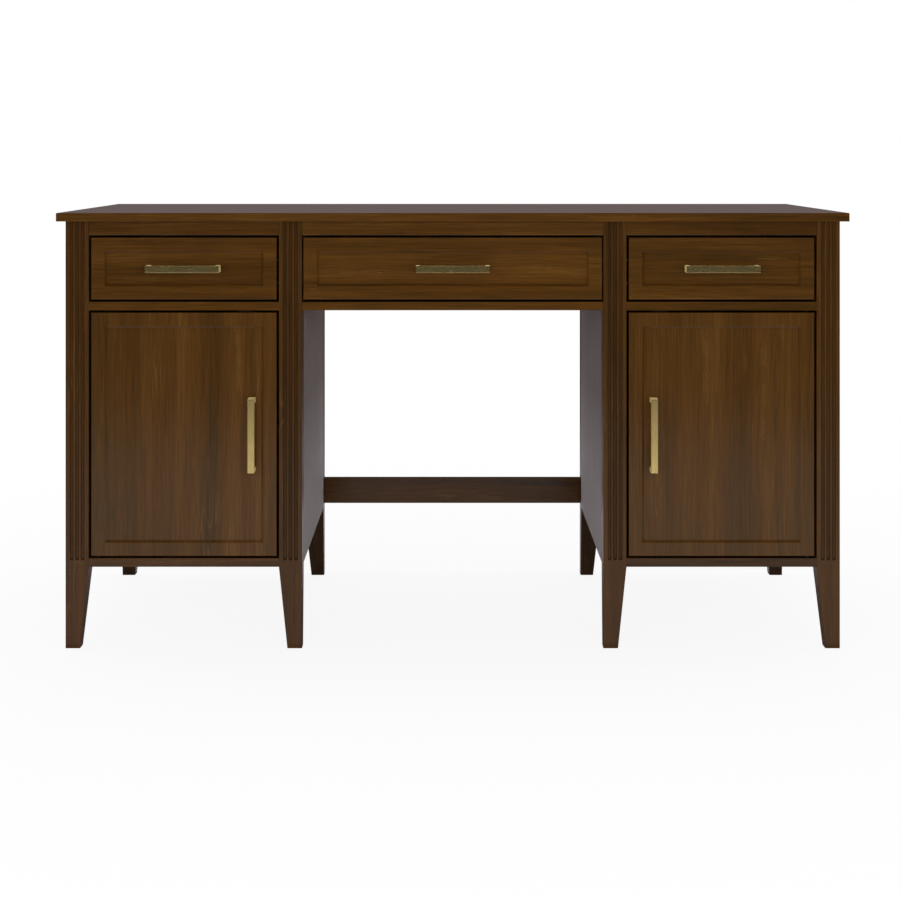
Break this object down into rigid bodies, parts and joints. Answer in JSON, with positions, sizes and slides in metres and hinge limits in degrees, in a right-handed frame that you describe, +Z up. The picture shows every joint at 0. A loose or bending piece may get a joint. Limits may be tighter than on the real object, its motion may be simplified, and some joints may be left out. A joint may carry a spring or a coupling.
{
  "type": "office desk",
  "caption": "Twin-pedestal office desk in dark stained wood with an open kneehole, inset drawers over cupboard doors, fluted tapered legs and brass bar handles.",
  "frame": {"origin": "on the floor, under the middle of the desk's box, handles included", "axes": "+X along the desk to the right of a person who faces its front, +Y to the back, +Z up"},
  "size_m": [1.4, 0.61, 0.772],
  "materials": {
    "walnut": "dark walnut stain under a satin varnish, grain along each piece",
    "drawer_wood": "pale birch, lightly sealed",
    "brass": "brushed antique brass",
    "dark_brass": "darkened brass, hidden in the doors' gaps",
    "runner_steel": "zinc plated rolled steel",
    "screw_steel": "plated steel",
    "glide_plastic": "dark moulded plastic",
    "catch_plastic": "brown moulded plastic"
  },
  "bodies": {
    "desk": {"centre_drawer_rail": "walnut", "centre_top_rail": "walnut", "cupboard_shelves": "walnut", "desktop": "walnut", "door_catches": "catch_plastic", "door_pivot_pins": "dark_brass", "foot_glides": "glide_plastic", "glue_blocks": "drawer_wood", "left_bottom_panel": "walnut", "left_divider_panel": "walnut", "left_inner_front_leg": "walnut", "left_inner_rear_leg": "walnut", "left_inner_side_panel": "walnut", "left_outer_front_leg": "walnut", "left_outer_rear_leg": "walnut", "left_outer_side_panel": "walnut", "pedestal_back_panels": "walnut", "pedestal_top_rails": "walnut", "rear_apron": "walnut", "rear_stretcher": "walnut", "right_bottom_panel": "walnut", "right_divider_panel": "walnut", "right_inner_front_leg": "walnut", "right_inner_rear_leg": "walnut", "right_inner_side_panel": "walnut", "right_outer_front_leg": "walnut", "right_outer_rear_leg": "walnut", "right_outer_side_panel": "walnut", "runner_spacers": "drawer_wood", "runner_tracks": "runner_steel", "shelf_pins": "screw_steel"},
    "left_drawer": {"left_drawer_front": "walnut", "left_drawer_sides": "drawer_wood", "left_drawer_back": "drawer_wood", "left_drawer_bottom": "drawer_wood", "left_drawer_slides": "runner_steel", "left_drawer_handle": "brass", "left_drawer_handle_screws": "screw_steel"},
    "centre_drawer": {"centre_drawer_front": "walnut", "centre_drawer_sides": "drawer_wood", "centre_drawer_back": "drawer_wood", "centre_drawer_bottom": "drawer_wood", "centre_drawer_slides": "runner_steel", "centre_drawer_handle": "brass", "centre_drawer_handle_screws": "screw_steel"},
    "right_drawer": {"right_drawer_front": "walnut", "right_drawer_sides": "drawer_wood", "right_drawer_back": "drawer_wood", "right_drawer_bottom": "drawer_wood", "right_drawer_slides": "runner_steel", "right_drawer_handle": "brass", "right_drawer_handle_screws": "screw_steel"},
    "left_door": {"left_door": "walnut", "left_door_handle": "brass", "left_door_handle_screws": "screw_steel", "left_door_pivot_bushes": "dark_brass"},
    "right_door": {"right_door": "walnut", "right_door_handle": "brass", "right_door_handle_screws": "screw_steel", "right_door_pivot_bushes": "dark_brass"}
  },
  "joints": [
    {"name": "left_drawer_slide", "type": "slide", "parent": "desk", "child": "left_drawer", "axis": [0, -1, 0], "range_m": [0, 0.34]},
    {"name": "centre_drawer_slide", "type": "slide", "parent": "desk", "child": "centre_drawer", "axis": [0, -1, 0], "range_m": [0, 0.34]},
    {"name": "right_drawer_slide", "type": "slide", "parent": "desk", "child": "right_drawer", "axis": [0, -1, 0], "range_m": [0, 0.34]},
    {"name": "left_door_swing", "type": "hinge", "parent": "desk", "child": "left_door", "pos_m": [-0.629, -0.27, 0.37925], "axis": [0, 0, -1], "range_deg": [0, 110]},
    {"name": "right_door_swing", "type": "hinge", "parent": "desk", "child": "right_door", "pos_m": [0.629, -0.27, 0.37925], "axis": [0, 0, 1], "range_deg": [0, 110]}
  ]
}
